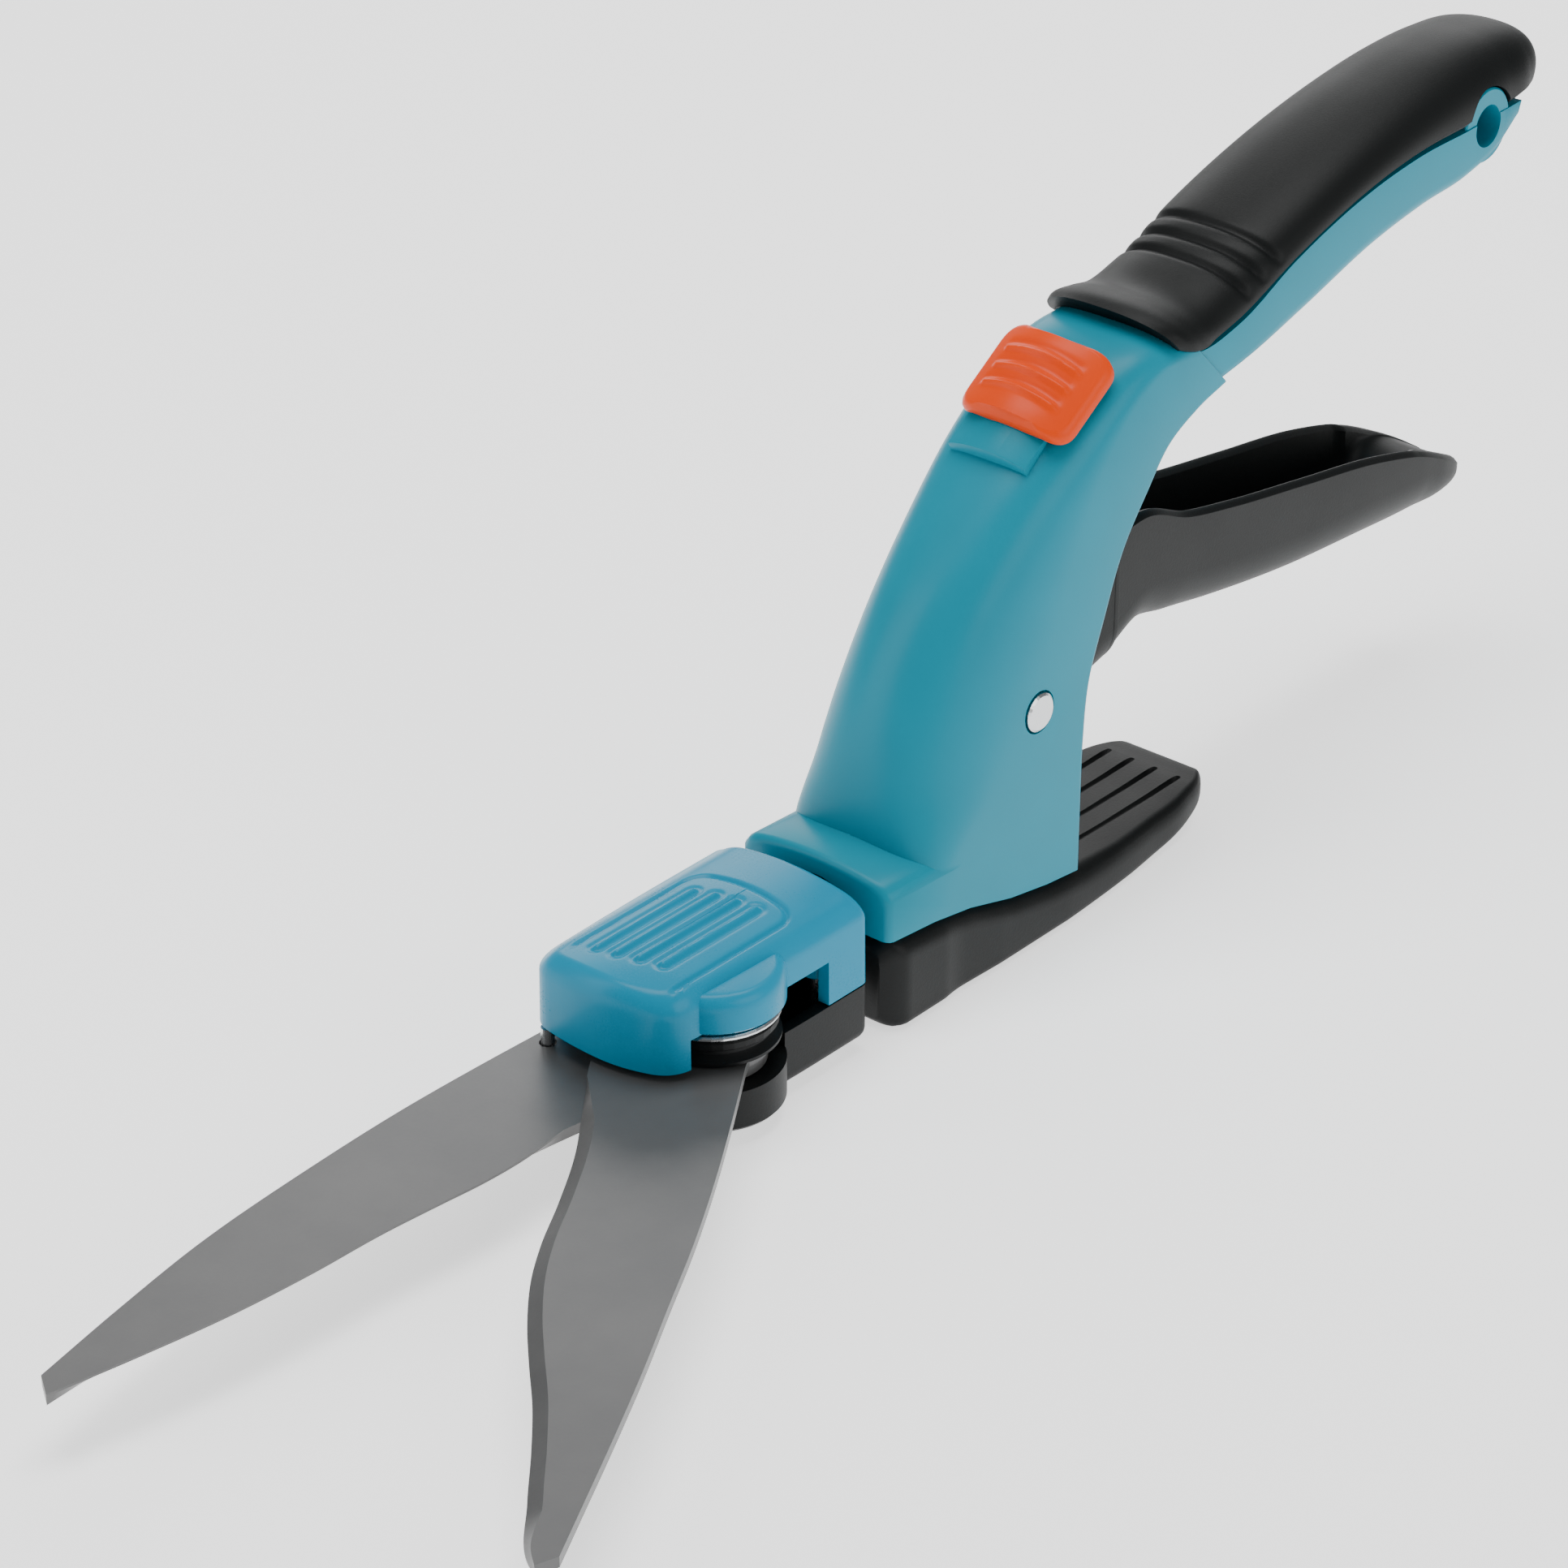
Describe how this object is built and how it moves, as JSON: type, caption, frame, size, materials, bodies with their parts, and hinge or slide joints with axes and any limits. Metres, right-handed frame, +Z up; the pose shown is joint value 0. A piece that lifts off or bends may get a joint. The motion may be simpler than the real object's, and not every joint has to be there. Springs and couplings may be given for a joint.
{
  "type": "grass shears",
  "caption": "One-handed grass shears: a squeeze lever under a curved gripped handle swings the upper of two flat blades in a head that turns on its neck.",
  "frame": {"origin": "on the flat sole of the foot, in the middle plane, 8.8 mm in front of the lever pin", "axes": "+X from the blade tips towards the handle, -Y to the user's left where the open blade points, +Z up away from the sole"},
  "size_m": [0.3428, 0.0929, 0.1168],
  "materials": {
    "teal_plastic": "fine satin moulded",
    "head_teal_plastic": "satin moulded",
    "soft_grip_black": "matte soft-touch",
    "black_plastic": "fine grained",
    "orange_plastic": "satin moulded",
    "bright_steel": "bright",
    "coated_blade_steel": "grey non-stick coating",
    "spring_steel": "plain"
  },
  "bodies": {
    "handle": {"handle_shell": "teal_plastic", "grip_overmould": "soft_grip_black", "foot": "black_plastic", "foot_screw_front": "bright_steel", "foot_screw_rear": "bright_steel", "lever_pin": "bright_steel", "pin_clip": "bright_steel", "return_spring": "spring_steel", "neck_ring": "spring_steel"},
    "lever": {"squeeze_lever": "black_plastic"},
    "rod": {"pull_rod": "bright_steel", "rod_pin": "bright_steel"},
    "head": {"head_frame": "black_plastic", "head_cover": "head_teal_plastic", "cover_screw_left": "bright_steel", "cover_screw_right": "bright_steel", "blade_screw": "bright_steel", "locating_pin": "bright_steel", "fixed_blade": "coated_blade_steel", "blade_bolt": "bright_steel", "steel_washer": "bright_steel", "upper_disc": "black_plastic", "lock_nut": "bright_steel"},
    "yoke": {"rod_yoke": "black_plastic"},
    "blade": {"moving_blade": "coated_blade_steel", "drive_pin": "bright_steel", "lower_disc": "black_plastic"},
    "lock": {"lock_slider": "orange_plastic", "lock_hook": "black_plastic"}
  },
  "joints": [
    {"name": "lever_squeeze", "type": "hinge", "parent": "handle", "child": "lever", "pos_m": [0.0088, 0, 0.0422], "axis": [0, -1, 0], "range_deg": [0, 22], "stiffness_Nm_per_rad": 1.2, "springref_deg": -17.19},
    {"name": "rod_slide", "type": "slide", "parent": "handle", "child": "rod", "axis": [1, 0, 0], "range_m": [0, 0.00918]},
    {"name": "head_turn", "type": "hinge", "parent": "handle", "child": "head", "pos_m": [-0.033, 0, 0.016], "axis": [1, 0, 0], "continuous": true},
    {"name": "yoke_slide", "type": "slide", "parent": "head", "child": "yoke", "axis": [1, 0, 0], "range_m": [0, 0.00918]},
    {"name": "blade_swing", "type": "hinge", "parent": "head", "child": "blade", "pos_m": [-0.0617, -0.0073, 0.0114], "axis": [0, 0, -1], "range_deg": [0, 34.05]},
    {"name": "lock_slide", "type": "slide", "parent": "handle", "child": "lock", "axis": [-0.8387, 0, -0.5446], "range_m": [0, 0.0034]}
  ],
  "couplings": [
    {"joint": "rod_slide", "follows": "lever_squeeze", "m_per_rad": 0.02386},
    {"joint": "yoke_slide", "follows": "lever_squeeze", "m_per_rad": 0.02386},
    {"joint": "blade_swing", "follows": "lever_squeeze", "ratio": 1.5454}
  ]
}
